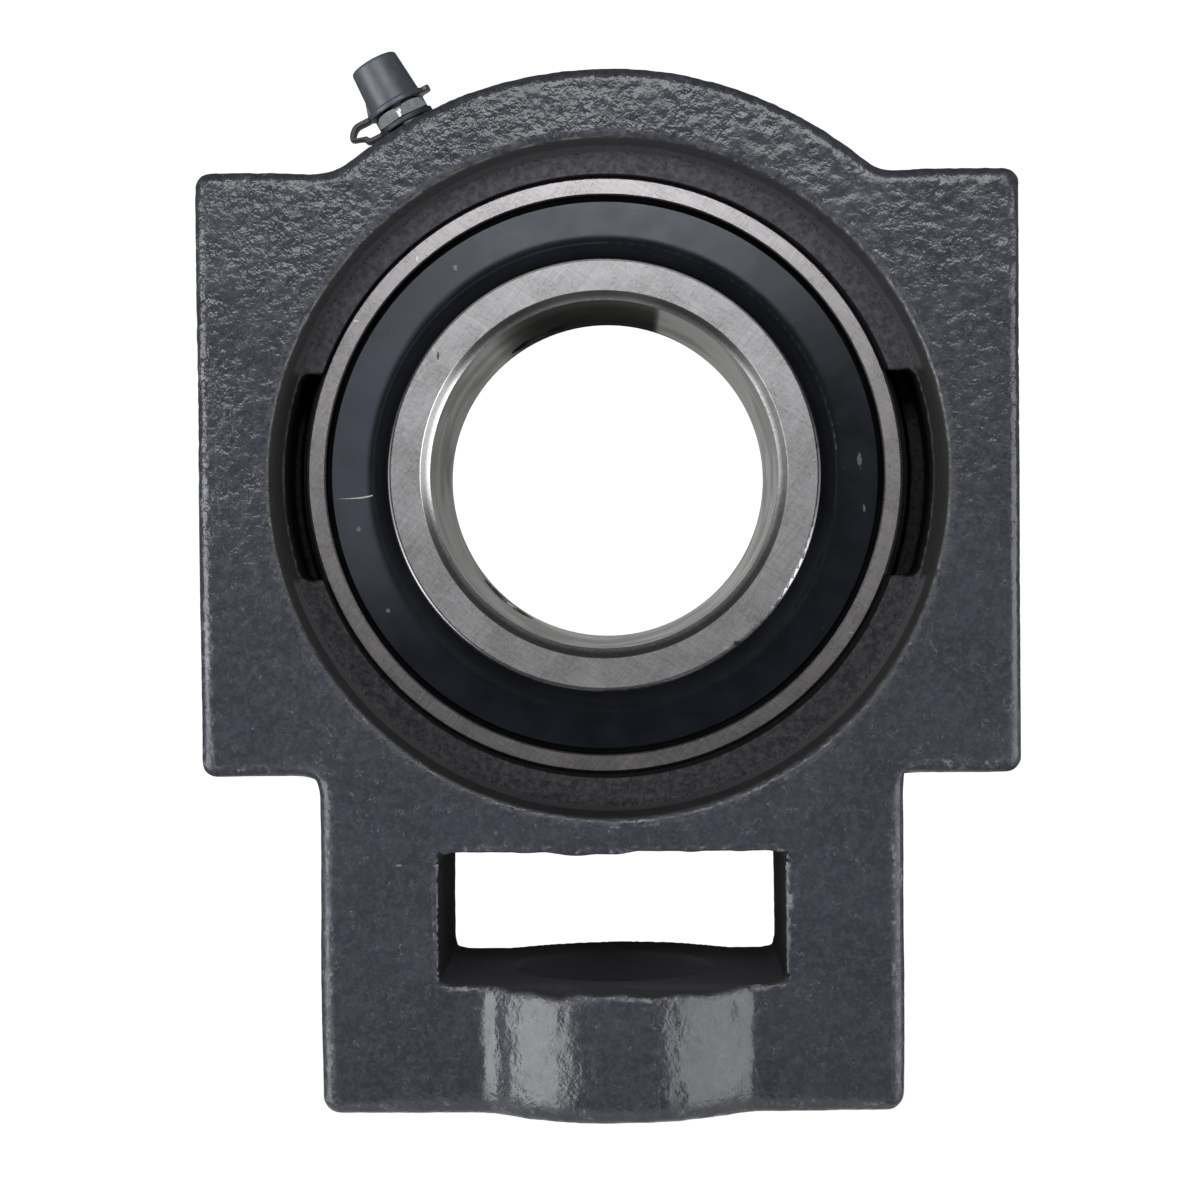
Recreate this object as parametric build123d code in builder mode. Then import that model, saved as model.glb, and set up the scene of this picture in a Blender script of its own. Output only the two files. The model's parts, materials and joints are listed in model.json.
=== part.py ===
from build123d import *
from math import atan, cos, degrees, radians, sin, sqrt, tan
import os

os.makedirs("parts", exist_ok=True)

# Take-up bearing unit with a 50 mm bore, in millimetres.
# Origin: centre of the bearing on the shaft axis. X right, Y along the shaft to the back, Z up.
# The unit stands on its attachment end. Radii in the insert are measured from the shaft axis.

# Housing, cast sizes
body_thickness = 37.0
rail_length = 86.4
top_wall = 13.2
base_width = 84.2
cast_shift = 0.6
shoulder_corner = 2.2
base_corner = 2.6
top_blend_left = 10.0
top_blend_right = 6.0
neck_fillet = 3.0
outline_rounding = 1.8

# Attachment end: slot for the nut, boss and hole for the adjusting screw
slot_width = 50.0
slot_height = 19.3
slot_corner = 2.5
slot_roof = 9.2
slot_floor = 18.65
screw_hole_diameter = 29.0
boss_diameter = 51.2
boss_blend = 5.1
boss_shift = 0.9
boss_advance = 1.0

# Machined guide grooves in the two side faces
guide_wall = 6.0
groove_depth = 8.1
groove_width = 16.0

# Seat of the bearing, recesses beside it and loading notches
seat_clearance = 0.05
recess_depth = 5.5
recess_floor_step = 2.3
recess_rim_step = 3.9
recess_drop = 0.6
recess_rounding = 0.8
notch_step = 2.1
notch_height = 30.0
notch_corner = 1.5
seat_groove_width = 7.0
seat_groove_depth = 0.8

# Bearing insert: the walls under the races set its size from the bore outwards
bore_diameter = 50.0
inner_race_wall = 3.6
ball_diameter = 12.7
ball_count = 10
outer_race_wall = 3.6
race_clearance = 0.05
race_conformity = 0.52
race_shoulder = 2.6
outer_ring_width = 24.0
inner_ring_front = 19.0
inner_ring_back = 32.6
bore_chamfer = 1.4
ring_edge = 0.6
outer_ring_edge = 0.3

# Lubrication groove and holes of the outer ring
oil_groove_place = 6.8
oil_groove_width = 2.6
oil_groove_depth = 0.5
oil_hole_diameter = 2.0
oil_hole_angles = (75.0, 255.0)

# Ribbon cage
cage_thickness = 0.8
cage_width = 4.0
pocket_clearance = 0.15
rivet_diameter = 1.8
rivet_head_diameter = 3.0
rivet_head_height = 0.5
rivet_clearance = 0.05

# Seals and flingers
seal_seat_step = 1.86
seal_seat_depth = 3.7
seal_core_thickness = 0.7
seal_rim_width = 1.6
press_clearance = 0.03
seal_bond_overlap = 1.4
lip_thickness = 1.2
lip_clearance = 0.05
flinger_clearance = 0.81
flinger_thickness = 0.7
flinger_edge_recess = 1.0
flinger_crest_recess = 0.3
flinger_crest_step = 2.6
flinger_dip = 1.5
flinger_bend = 0.9
flinger_hub_depth = 2.5

# Set screws
screw_diameter = 10.0
screw_length = 9.0
screw_clearance = 0.05
screw_end_distance = 10.0
screw_tip_gap = 0.5
screw_angles = (25.0, 140.0)
screw_socket = 5.0
screw_socket_depth = 4.5
screw_chamfer = 0.8
screw_cup_depth = 1.0

# Grease nipple, its check valve and its cap
nipple_angle = 28.83
nipple_thread_diameter = 6.0
shank_depth = 3.7
nipple_hole_depth = 8.2
passage_diameter = 3.0
hex_stand_off = 2.3
hex_height = 2.5
hex_width = 8.0
neck_diameter = 4.8
neck_height = 3.2
head_diameter = 6.4
head_cone_height = 1.2
head_band = 0.8
head_tip_diameter = 3.8
head_tip_height = 1.6
valve_bore_diameter = 2.3
valve_mouth_diameter = 1.4
check_ball_diameter = 2.0
valve_lip = 0.6
valve_clearance = 0.05
spring_wire = 0.3
spring_turns = 8
cap_gap = 0.3
cap_flange_thickness = 0.8
cap_flange_diameter = 9.4
cap_base_diameter = 8.2
cap_top_diameter = 7.3
cap_height = 8.1
cap_dome = 0.5
cap_wall = 0.5
cap_roof = 1.3
cap_edge = 0.5
tab_reach = 5.6
tab_width = 3.0
strap_width = 2.6
strap_thickness = 0.8
strap_gap = 0.1
strap_ring_diameter = 8.8
strap_loop_reach = 8.2
strap_loop_height = 2.2

# Radii of the insert, from the bore outwards
bore_radius = bore_diameter / 2
ball_radius = ball_diameter / 2
inner_race_radius = bore_radius + inner_race_wall
inner_ring_radius = inner_race_radius + race_shoulder
pitch_radius = inner_race_radius + race_clearance + ball_radius
outer_race_radius = pitch_radius + ball_radius + race_clearance
outer_land_radius = outer_race_radius - race_shoulder
race_groove_radius = race_conformity * ball_diameter
insert_sphere_radius = outer_race_radius + outer_race_wall
seal_seat_radius = outer_land_radius + seal_seat_step
flinger_radius = seal_seat_radius - flinger_clearance
flinger_crest_radius = inner_ring_radius + flinger_crest_step

# Sizes of the housing, from the seat outwards
seat_radius = insert_sphere_radius + seat_clearance
top_radius = insert_sphere_radius + top_wall
recess_floor_radius = insert_sphere_radius + recess_floor_step
recess_rim_radius = insert_sphere_radius + recess_rim_step
notch_reach = insert_sphere_radius + notch_step
groove_bottom_width = 2 * (insert_sphere_radius + guide_wall)
body_width = groove_bottom_width + 2 * groove_depth
end_distance = insert_sphere_radius + slot_roof + slot_height + slot_floor

# Derived places. Heights on the nipple run outwards from the bearing centre.
half_body = body_thickness / 2
half_rail = rail_length / 2
slot_bottom = slot_floor - end_distance
slot_middle = slot_bottom + slot_height / 2
half_outer_ring = outer_ring_width / 2
seal_face = half_outer_ring - seal_seat_depth
nipple_shank_start = top_radius - shank_depth
hex_start = top_radius + hex_stand_off
cut_margin = 2.0

nipple_out = Vector(-sin(radians(nipple_angle)), 0, cos(radians(nipple_angle)))
nipple_side = Vector(cos(radians(nipple_angle)), 0, sin(radians(nipple_angle)))
nipple_axis = Axis((0, 0, 0), tuple(nipple_out))
nipple_section = Plane(origin=(0, 0, 0), x_dir=nipple_side, z_dir=(0, -1, 0))
hex_end = hex_start + hex_height


def finish(piece, name):
    piece.part.label = name
    export_step(piece.part, f"parts/{name}.step")


def nipple_plane(height):
    return Plane(origin=nipple_out * height, x_dir=nipple_side, z_dir=nipple_out)


def edge_near(piece, x, z):
    def distance(edge):
        middle = edge.center()
        return (middle.X - x) ** 2 + (middle.Z - z) ** 2

    return piece.edges().filter_by(Axis.Y).sort_by(distance)[0]


def side_plane(side, distance, x=0.0, z=0.0):
    # A plane square to the shaft, facing inwards, at a distance in front (-1) or behind (1).
    return Plane(origin=(x, side * distance, z), x_dir=(1, 0, 0), z_dir=(0, -side, 0))


# Housing: one casting with machined seat and grooves
with BuildPart() as housing:
    with BuildSketch(Plane.XZ):
        with Locations((cast_shift, 0)):
            Circle(top_radius)
            Rectangle(body_width, rail_length)
        with Locations((cast_shift, -end_distance / 2)):
            Rectangle(base_width, end_distance)
    extrude(amount=half_body, both=True)

    arc_foot = sqrt(top_radius**2 - half_rail**2)
    fillet(edge_near(housing, cast_shift - arc_foot, half_rail), top_blend_left)
    fillet(edge_near(housing, cast_shift + arc_foot, half_rail), top_blend_right)
    for side in (-1, 1):
        for level in (-half_rail, half_rail):
            fillet(edge_near(housing, cast_shift + side * body_width / 2, level), shoulder_corner)
        fillet(edge_near(housing, cast_shift + side * base_width / 2, -half_rail), neck_fillet)
        fillet(edge_near(housing, cast_shift + side * base_width / 2, -end_distance), base_corner)

    # Boss round the adjusting screw, blended into both faces and cut off by the slot
    with BuildSketch(Plane.XY.offset(-end_distance)):
        with Locations((cast_shift + boss_shift, -boss_advance)):
            Circle(boss_diameter / 2)
        with Locations((cast_shift, 0)):
            Rectangle(base_width - 2 * base_corner, body_thickness)
        crossings = vertices().sort_by(lambda point: abs(point.X - cast_shift))[:4]
        fillet(crossings, boss_blend)
    extrude(amount=slot_floor + slot_height / 2)

    outline = housing.faces().filter_by(Axis.Y).group_by(Axis.Y)
    boss_half_width = boss_diameter / 2
    outline_edges = [
        edge
        for face in (outline[0][0], outline[-1][0])
        for edge in face.outer_wire().edges()
        if edge.center().Z > slot_middle + slot_height or abs(edge.center().X - cast_shift) > boss_half_width
    ]
    fillet(outline_edges, outline_rounding)

    # Slot across the thickness and the hole for the adjusting screw
    with BuildSketch(Plane.XZ):
        with Locations((cast_shift, slot_middle)):
            RectangleRounded(slot_width, slot_height, slot_corner)
    extrude(amount=boss_diameter / 2 + cut_margin, both=True, mode=Mode.SUBTRACT)
    with BuildSketch(Plane.XY.offset(-end_distance - cut_margin)):
        with Locations((cast_shift, 0)):
            Circle(screw_hole_diameter / 2)
    extrude(amount=slot_floor + 2 * cut_margin, mode=Mode.SUBTRACT)

    # Guide grooves, cut the whole length of the side rails
    with BuildSketch(Plane.XY.offset(-half_rail - cut_margin)):
        for side in (-1, 1):
            with Locations((side * (groove_bottom_width / 2 + groove_depth), 0)):
                Rectangle(2 * groove_depth, groove_width)
    extrude(amount=rail_length + 2 * cut_margin, mode=Mode.SUBTRACT)

    # Drafted recesses at both faces, then the spherical seat between them
    recess_draft = degrees(atan((recess_rim_radius - recess_floor_radius) / recess_depth))
    for side in (-1, 1):
        with BuildSketch(side_plane(side, half_body, cast_shift, -recess_drop)):
            Circle(recess_rim_radius)
        extrude(amount=recess_depth, taper=recess_draft, mode=Mode.SUBTRACT)
        rim = housing.edges().filter_by(GeomType.CIRCLE).sort_by(
            lambda edge: abs(edge.center().Y - side * half_body) + abs(edge.radius - recess_rim_radius)
        )[0]
        fillet(rim, recess_rounding)
    Sphere(seat_radius, mode=Mode.SUBTRACT)

    # Loading notches, through which the insert enters edgeways before it is swung into place
    with BuildSketch(Plane.XZ):
        with Locations((cast_shift, -recess_drop)):
            Circle(notch_reach)
        with Locations((cast_shift, 0)):
            Rectangle(2 * notch_reach, notch_height, mode=Mode.INTERSECT)
        fillet(vertices(), notch_corner)
    extrude(amount=half_body + cut_margin, mode=Mode.SUBTRACT)

    # Grease way: tapped hole, drilled passage and groove round the seat
    with BuildSketch(nipple_plane(top_radius - nipple_hole_depth)):
        Circle(nipple_thread_diameter / 2 + press_clearance)
    extrude(amount=nipple_hole_depth + cut_margin, mode=Mode.SUBTRACT)
    with BuildSketch(nipple_plane(insert_sphere_radius - cut_margin)):
        Circle(passage_diameter / 2)
    extrude(amount=top_radius - nipple_hole_depth - insert_sphere_radius + 2 * cut_margin, mode=Mode.SUBTRACT)
    with BuildSketch(Plane.XY):
        with Locations((seat_radius, seat_groove_width / 2)):
            Rectangle(2 * seat_groove_depth, seat_groove_width)
    revolve(axis=Axis.Y, mode=Mode.SUBTRACT)
finish(housing, "housing")


# Outer ring with a spherical outside, the raceway, seal seats and the lubrication groove
race_half_width = sqrt(race_groove_radius**2 - (race_groove_radius - outer_race_radius + outer_land_radius) ** 2)
face_radius = sqrt(insert_sphere_radius**2 - half_outer_ring**2)
with BuildPart() as outer_ring:
    with BuildSketch(Plane.XY):
        with BuildLine():
            ThreePointArc((face_radius, -half_outer_ring), (insert_sphere_radius, 0), (face_radius, half_outer_ring))
            Polyline(
                (face_radius, half_outer_ring),
                (seal_seat_radius, half_outer_ring),
                (seal_seat_radius, seal_face),
                (outer_land_radius, seal_face),
                (outer_land_radius, race_half_width),
            )
            ThreePointArc(
                (outer_land_radius, race_half_width),
                (outer_race_radius, 0),
                (outer_land_radius, -race_half_width),
            )
            Polyline(
                (outer_land_radius, -race_half_width),
                (outer_land_radius, -seal_face),
                (seal_seat_radius, -seal_face),
                (seal_seat_radius, -half_outer_ring),
                (face_radius, -half_outer_ring),
            )
        make_face()
    revolve(axis=Axis.Y)
    ring_faces = outer_ring.edges().filter_by(GeomType.CIRCLE).group_by(Axis.Y)
    chamfer(ring_faces[0] + ring_faces[-1], outer_ring_edge)
    groove_floor = sqrt(insert_sphere_radius**2 - oil_groove_place**2) - oil_groove_depth
    with BuildSketch(Plane.XY):
        with Locations((groove_floor + oil_groove_width / 2, oil_groove_place)):
            Rectangle(oil_groove_width, oil_groove_width)
    revolve(axis=Axis.Y, mode=Mode.SUBTRACT)
    for angle in oil_hole_angles:
        outwards = (cos(radians(angle)), 0, sin(radians(angle)))
        with BuildSketch(Plane(origin=(0, oil_groove_place, 0), z_dir=outwards)):
            Circle(oil_hole_diameter / 2)
        extrude(amount=insert_sphere_radius, mode=Mode.SUBTRACT)
finish(outer_ring, "outer_ring")


# Inner ring, longer at the back, where two set screws hold the shaft
def radial(angle):
    return Vector(-sin(radians(angle)), 0, cos(radians(angle)))


def screw_plane(angle, height):
    middle = Vector(0, inner_ring_back - screw_end_distance, 0) + radial(angle) * height
    return Plane(origin=middle, x_dir=(0, 1, 0), z_dir=radial(angle))


inner_race_half = sqrt(race_groove_radius**2 - (race_groove_radius + inner_race_radius - inner_ring_radius) ** 2)
with BuildPart() as inner_ring:
    with BuildSketch(Plane.XY):
        with BuildLine():
            Polyline(
                (inner_ring_radius, -inner_race_half),
                (inner_ring_radius, -inner_ring_front),
                (bore_radius, -inner_ring_front),
                (bore_radius, inner_ring_back),
                (inner_ring_radius, inner_ring_back),
                (inner_ring_radius, inner_race_half),
            )
            ThreePointArc(
                (inner_ring_radius, inner_race_half),
                (inner_race_radius, 0),
                (inner_ring_radius, -inner_race_half),
            )
        make_face()
    revolve(axis=Axis.Y)
    ends = inner_ring.edges().filter_by(GeomType.CIRCLE).group_by(Axis.Y)
    for end in (ends[0], ends[-1]):
        by_size = end.sort_by(lambda edge: edge.radius)
        chamfer(by_size[0], bore_chamfer)
    ends = inner_ring.faces().filter_by(Axis.Y).sort_by(Axis.Y)
    for face in (ends[0], ends[-1]):
        fillet(face.edges().sort_by(lambda edge: edge.radius)[-1], ring_edge)
    for angle in screw_angles:
        with BuildSketch(screw_plane(angle, 0)):
            Circle(screw_diameter / 2 + screw_clearance)
        extrude(amount=inner_ring_radius + cut_margin, mode=Mode.SUBTRACT)
finish(inner_ring, "inner_ring")


# Set screws with a hexagon socket and a cup point
screw_start = bore_radius + screw_tip_gap
for number, angle in enumerate(screw_angles, start=1):
    with BuildPart() as set_screw:
        with BuildSketch(screw_plane(angle, screw_start)):
            Circle(screw_diameter / 2)
        extrude(amount=screw_length)
        chamfer(set_screw.edges().filter_by(GeomType.CIRCLE), screw_chamfer)
        with BuildSketch(screw_plane(angle, screw_start + screw_length)):
            RegularPolygon(screw_socket / 2, 6, major_radius=False)
        extrude(amount=-screw_socket_depth, mode=Mode.SUBTRACT)
        with BuildSketch(screw_plane(angle, screw_start)):
            Circle(screw_diameter / 2 - 2 * screw_chamfer)
        extrude(amount=screw_cup_depth, taper=60, mode=Mode.SUBTRACT)
    finish(set_screw, f"set_screw_{number}")


# Balls, evenly spaced on the pitch circle
ball_step = 360 / ball_count


def pitch_point(angle):
    return (pitch_radius * cos(radians(angle)), 0, pitch_radius * sin(radians(angle)))


for number in range(ball_count):
    with BuildPart() as ball:
        with Locations(pitch_point(number * ball_step)):
            Sphere(ball_radius)
    finish(ball, f"ball_{number + 1:02d}")


# Ribbon cage: two pressed halves with round pockets, riveted together between the balls
pocket_radius = ball_radius + pocket_clearance
pocket_reach = pocket_radius + cage_thickness
ball_points = [pitch_point(number * ball_step) for number in range(ball_count)]
for name, side in (("cage_front", -1), ("cage_rear", 1)):
    middle_plane = Plane(origin=(0, 0, 0), x_dir=(1, 0, 0), z_dir=(0, side, 0))
    with BuildPart() as cage_half:
        with BuildSketch(middle_plane):
            Circle(pitch_radius + cage_width / 2)
            Circle(pitch_radius - cage_width / 2, mode=Mode.SUBTRACT)
        extrude(amount=cage_thickness)
        with Locations(*ball_points):
            Sphere(pocket_reach)
        with BuildSketch(middle_plane):
            Circle(pitch_radius + cage_width / 2)
            Circle(pitch_radius - cage_width / 2, mode=Mode.SUBTRACT)
        extrude(amount=pocket_reach + cut_margin, mode=Mode.INTERSECT)
        with Locations(*ball_points):
            Sphere(pocket_radius, mode=Mode.SUBTRACT)
        with BuildSketch(middle_plane):
            with PolarLocations(pitch_radius, ball_count, start_angle=ball_step / 2):
                Circle(rivet_diameter / 2 + rivet_clearance)
        extrude(amount=cage_thickness, mode=Mode.SUBTRACT)
    finish(cage_half, name)

for number in range(ball_count):
    place = pitch_point((number + 0.5) * ball_step)
    with BuildPart() as rivet:
        for side in (-1, 1):
            with BuildSketch(Plane(origin=place, x_dir=(1, 0, 0), z_dir=(0, side, 0))):
                Circle(rivet_diameter / 2)
            extrude(amount=cage_thickness)
            with BuildSketch(Plane(origin=place, x_dir=(1, 0, 0), z_dir=(0, side, 0)).offset(cage_thickness)):
                Circle(rivet_head_diameter / 2)
            extrude(amount=rivet_head_height, taper=30)
    finish(rivet, f"cage_rivet_{number + 1:02d}")


# Seals: a steel core pressed into the outer ring, with a rubber lip on the inner ring
core_inner_radius = inner_ring_radius + lip_clearance + seal_bond_overlap
core_face = seal_face + press_clearance
core_outer_radius = seal_seat_radius - press_clearance
with BuildPart() as seal_core_front:
    with BuildSketch(Plane.XY):
        with BuildLine():
            Polyline(
                (core_inner_radius, -core_face),
                (core_outer_radius, -core_face),
                (core_outer_radius, -core_face - seal_rim_width),
                (core_outer_radius - seal_core_thickness, -core_face - seal_rim_width),
                (core_outer_radius - seal_core_thickness, -core_face - seal_core_thickness),
                (core_inner_radius, -core_face - seal_core_thickness),
                close=True,
            )
        make_face()
    revolve(axis=Axis.Y)
finish(seal_core_front, "seal_core_front")

with BuildPart() as seal_lip_front:
    lip_inner_radius = inner_ring_radius + lip_clearance
    lip_middle = core_face + seal_core_thickness / 2
    with BuildSketch(Plane.XY):
        with Locations((lip_inner_radius + seal_bond_overlap, -lip_middle)):
            Rectangle(2 * seal_bond_overlap, lip_thickness)
        with Locations((lip_inner_radius + 2 * seal_bond_overlap, -lip_middle)):
            Rectangle(2 * seal_bond_overlap, seal_core_thickness, mode=Mode.SUBTRACT)
    revolve(axis=Axis.Y)
    lip_edges = seal_lip_front.edges().filter_by(GeomType.CIRCLE).sort_by(lambda edge: edge.radius)
    chamfer(lip_edges[:2], lip_thickness / 4)
finish(seal_lip_front, "seal_lip_front")

# Flinger: a dished washer pressed on the inner ring in front of each seal
with BuildPart() as flinger_front:
    hub_radius = inner_ring_radius + press_clearance
    crest_face = half_outer_ring - flinger_crest_recess
    with BuildSketch(Plane.XY):
        with BuildLine():
            FilletPolyline(
                (flinger_radius, -half_outer_ring + flinger_edge_recess),
                (flinger_crest_radius, -crest_face),
                (hub_radius, -crest_face + flinger_dip),
                (hub_radius, -half_outer_ring + flinger_hub_depth),
                radius=flinger_bend,
            )
            offset(amount=flinger_thickness, side=Side.RIGHT)
        make_face()
    revolve(axis=Axis.Y)
finish(flinger_front, "flinger_front")

for name, front in (
    ("seal_core_rear", seal_core_front),
    ("seal_lip_rear", seal_lip_front),
    ("flinger_rear", flinger_front),
):
    with BuildPart() as rear:
        mirror(front.part, about=Plane.XZ)
    finish(rear, name)


# Grease nipple: threaded shank, hexagon, neck and head, bored for the check valve
thread_radius = nipple_thread_diameter / 2
neck_radius = neck_diameter / 2
head_radius = head_diameter / 2
head_start = hex_end + neck_height
head_widest = head_start + head_cone_height
head_shoulder = head_widest + head_band
nipple_top = head_shoulder + head_tip_height
valve_bore_radius = valve_bore_diameter / 2
valve_mouth_radius = valve_mouth_diameter / 2
valve_seat = nipple_top - valve_lip - (valve_bore_radius - valve_mouth_radius)
hex_chamfer_angle = 60
with BuildPart() as grease_nipple:
    with BuildSketch(nipple_plane(hex_start)):
        RegularPolygon(hex_width / 2, 6, major_radius=False, rotation=30)
    extrude(amount=hex_height)
    with BuildSketch(nipple_plane(hex_start)):
        Circle(hex_width / 2 + hex_height * tan(radians(hex_chamfer_angle)))
    extrude(amount=hex_height, taper=hex_chamfer_angle, mode=Mode.INTERSECT)
    with BuildSketch(nipple_section):
        with BuildLine():
            Polyline(
                (0, nipple_shank_start),
                (thread_radius, nipple_shank_start),
                (thread_radius, hex_start),
                (neck_radius, hex_end),
                (neck_radius, head_start),
                (head_radius, head_widest),
                (head_radius, head_shoulder),
                (head_tip_diameter / 2, nipple_top),
                (0, nipple_top),
                close=True,
            )
        make_face()
    revolve(axis=nipple_axis)
    with BuildSketch(nipple_section):
        with BuildLine():
            Polyline(
                (0, nipple_shank_start - cut_margin),
                (valve_mouth_radius, nipple_shank_start - cut_margin),
                (valve_mouth_radius, nipple_shank_start + valve_lip),
                (valve_bore_radius, nipple_shank_start + valve_lip),
                (valve_bore_radius, valve_seat),
                (valve_mouth_radius, nipple_top - valve_lip),
                (valve_mouth_radius, nipple_top + cut_margin),
                (0, nipple_top + cut_margin),
                close=True,
            )
        make_face()
    revolve(axis=nipple_axis, mode=Mode.SUBTRACT)
finish(grease_nipple, "grease_nipple")

# Check ball against the conical seat, and the spring that holds it there
check_ball_radius = check_ball_diameter / 2
check_ball_height = valve_seat + valve_bore_radius - sqrt(2) * (check_ball_radius + valve_clearance)
with BuildPart() as nipple_ball:
    with Locations(nipple_out * check_ball_height):
        Sphere(check_ball_radius)
finish(nipple_ball, "nipple_ball")

wire_radius = spring_wire / 2
coil_radius = valve_bore_radius - wire_radius - valve_clearance
spring_start = nipple_shank_start + valve_lip + wire_radius + valve_clearance
spring_reach = check_ball_radius + wire_radius + valve_clearance
spring_end = check_ball_height - sqrt(spring_reach**2 - coil_radius**2)
with BuildPart() as nipple_spring:
    with BuildLine():
        coil = Helix(
            pitch=(spring_end - spring_start) / spring_turns,
            height=spring_end - spring_start,
            radius=coil_radius,
            center=nipple_out * spring_start,
            direction=nipple_out,
        )
    with BuildSketch(Plane(origin=coil @ 0, z_dir=coil % 0)):
        Circle(wire_radius)
    sweep()
finish(nipple_spring, "nipple_spring")

# Grease cap: a tapered plastic cap with a domed top, a flange and a pull tab
cap_start = hex_end + cap_gap
cap_top = cap_start + cap_height
cap_shoulder = cap_top - cap_dome
cap_inner_top = cap_top - cap_roof
with BuildPart() as grease_cap:
    with BuildSketch(nipple_section):
        with BuildLine():
            Polyline(
                (0, cap_top),
                (0, cap_start),
                (cap_flange_diameter / 2, cap_start),
                (cap_flange_diameter / 2, cap_start + cap_flange_thickness),
                (cap_base_diameter / 2, cap_start + cap_flange_thickness),
                (cap_top_diameter / 2, cap_shoulder),
            )
            ThreePointArc(
                (cap_top_diameter / 2, cap_shoulder),
                (cap_top_diameter / 4, cap_shoulder + 0.75 * cap_dome),
                (0, cap_top),
            )
        make_face()
    revolve(axis=nipple_axis)
    circles = grease_cap.edges().filter_by(GeomType.CIRCLE)
    fillet(circles.sort_by(lambda edge: abs(edge.radius - cap_top_diameter / 2))[0], cap_edge)
    with BuildSketch(nipple_plane(cap_start)):
        with Locations((tab_reach / 2, 0)):
            RectangleRounded(tab_reach, tab_width, tab_width / 4)
    extrude(amount=cap_flange_thickness)
    with BuildSketch(nipple_section):
        with BuildLine():
            Polyline(
                (0, cap_start - cut_margin),
                (cap_base_diameter / 2 - cap_wall, cap_start - cut_margin),
                (cap_base_diameter / 2 - cap_wall, cap_start),
                (cap_top_diameter / 2 - cap_wall, cap_inner_top),
                (0, cap_inner_top),
                close=True,
            )
        make_face()
    revolve(axis=nipple_axis, mode=Mode.SUBTRACT)
finish(grease_cap, "grease_cap")

# Strap that keeps the cap: a ring under the hexagon and a loop up to the flange
ring_top = hex_start - strap_gap
ring_middle = ring_top - strap_thickness / 2
strap_root = cap_flange_diameter / 2 + strap_gap
with BuildPart() as cap_strap:
    with BuildSketch(nipple_section):
        with BuildLine():
            Spline(
                (-strap_root, cap_start + cap_flange_thickness / 2),
                (-0.5 * (strap_root + strap_loop_reach) - strap_thickness, cap_start + strap_thickness / 4),
                (-strap_loop_reach, ring_middle + strap_loop_height),
                (-0.5 * (strap_root + strap_loop_reach), ring_middle + strap_thickness),
                (strap_thickness - strap_ring_diameter / 2, ring_middle),
                tangents=((-1, 0), (1, 0)),
            )
        trace(line_width=strap_thickness)
    extrude(amount=strap_width / 2, both=True)
    with BuildSketch(nipple_plane(ring_top - strap_thickness)):
        Circle(strap_ring_diameter / 2)
    extrude(amount=strap_thickness)
    with BuildSketch(nipple_plane(ring_top - strap_thickness - cut_margin)):
        Circle(thread_radius + strap_gap)
    extrude(amount=strap_thickness + 2 * cut_margin, mode=Mode.SUBTRACT)
finish(cap_strap, "cap_strap")
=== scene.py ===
import json
import math

import bmesh
import bpy
import numpy as np
from mathutils import Matrix, Vector, kdtree, noise
from mathutils.bvhtree import BVHTree


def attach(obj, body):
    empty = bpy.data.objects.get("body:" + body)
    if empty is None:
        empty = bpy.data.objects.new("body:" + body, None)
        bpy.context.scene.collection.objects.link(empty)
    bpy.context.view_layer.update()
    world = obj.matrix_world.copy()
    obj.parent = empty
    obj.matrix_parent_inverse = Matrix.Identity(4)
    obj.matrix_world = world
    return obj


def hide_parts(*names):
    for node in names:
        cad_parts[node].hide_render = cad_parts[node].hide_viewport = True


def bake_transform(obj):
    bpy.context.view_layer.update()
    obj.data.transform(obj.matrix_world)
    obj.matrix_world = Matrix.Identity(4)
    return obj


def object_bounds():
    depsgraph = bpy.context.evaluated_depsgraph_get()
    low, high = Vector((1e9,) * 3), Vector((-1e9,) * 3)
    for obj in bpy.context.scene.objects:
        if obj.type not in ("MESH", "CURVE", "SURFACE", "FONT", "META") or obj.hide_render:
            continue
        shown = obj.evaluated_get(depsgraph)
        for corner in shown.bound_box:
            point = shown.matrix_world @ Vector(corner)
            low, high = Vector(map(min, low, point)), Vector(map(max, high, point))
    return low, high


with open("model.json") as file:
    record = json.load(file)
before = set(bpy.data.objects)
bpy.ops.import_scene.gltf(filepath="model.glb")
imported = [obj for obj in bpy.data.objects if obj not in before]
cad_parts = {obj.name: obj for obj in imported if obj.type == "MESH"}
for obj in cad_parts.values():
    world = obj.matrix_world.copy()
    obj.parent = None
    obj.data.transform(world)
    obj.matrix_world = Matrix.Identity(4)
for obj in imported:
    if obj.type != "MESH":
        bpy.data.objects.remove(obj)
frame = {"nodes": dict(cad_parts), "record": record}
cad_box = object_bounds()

bl_info = {
    "name": "Take-up bearing unit",
    "version": (1, 0, 0),
    "blender": (4, 5, 0),
    "location": "View3D > Sidebar > Take-up unit",
    "description": "Dresses the packed take-up bearing unit with its cast skin, ground rings, threads and cap",
    "category": "Object",
}

MM = 0.001
NODES = frame["nodes"]

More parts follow.
